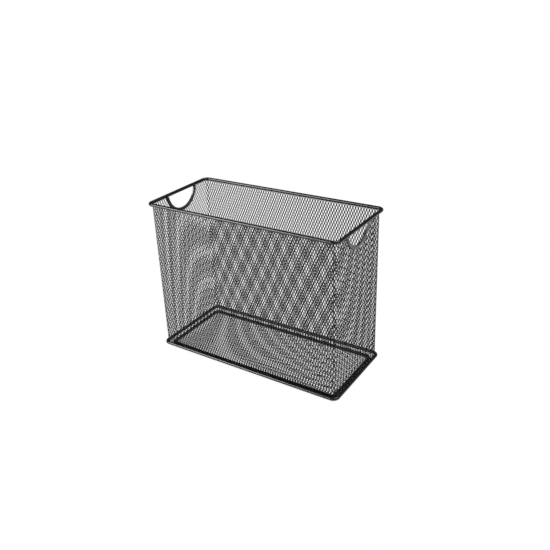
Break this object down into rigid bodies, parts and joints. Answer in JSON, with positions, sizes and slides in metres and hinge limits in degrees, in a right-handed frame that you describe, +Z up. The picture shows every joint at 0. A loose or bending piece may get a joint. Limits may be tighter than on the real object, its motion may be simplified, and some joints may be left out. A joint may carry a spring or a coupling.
{
  "type": "magazine file holder",
  "caption": "Open-top file box of black steel mesh on round rod rings, with a half-moon hand hole in each end.",
  "frame": {"origin": "on the desk, under the middle of the box", "axes": "+X along the long side to the right-hand end, +Y from the front long wall to the back one, +Z up"},
  "size_m": [0.3212, 0.1442, 0.2483],
  "materials": {
    "rod_coat": "satin black powder coat on round steel rod",
    "mesh_coat": "satin black powder coat on expanded steel mesh",
    "trim_coat": "satin black powder coat on folded steel strip"
  },
  "bodies": {
    "root": {"top_rim_rod": "rod_coat", "base_ring_rod": "rod_coat", "foot_ring_rod": "rod_coat", "front_mesh_wall": "mesh_coat", "back_mesh_wall": "mesh_coat", "left_mesh_wall": "mesh_coat", "right_mesh_wall": "mesh_coat", "mesh_floor": "mesh_coat", "left_handle_trim": "trim_coat", "right_handle_trim": "trim_coat"}
  },
  "joints": []
}
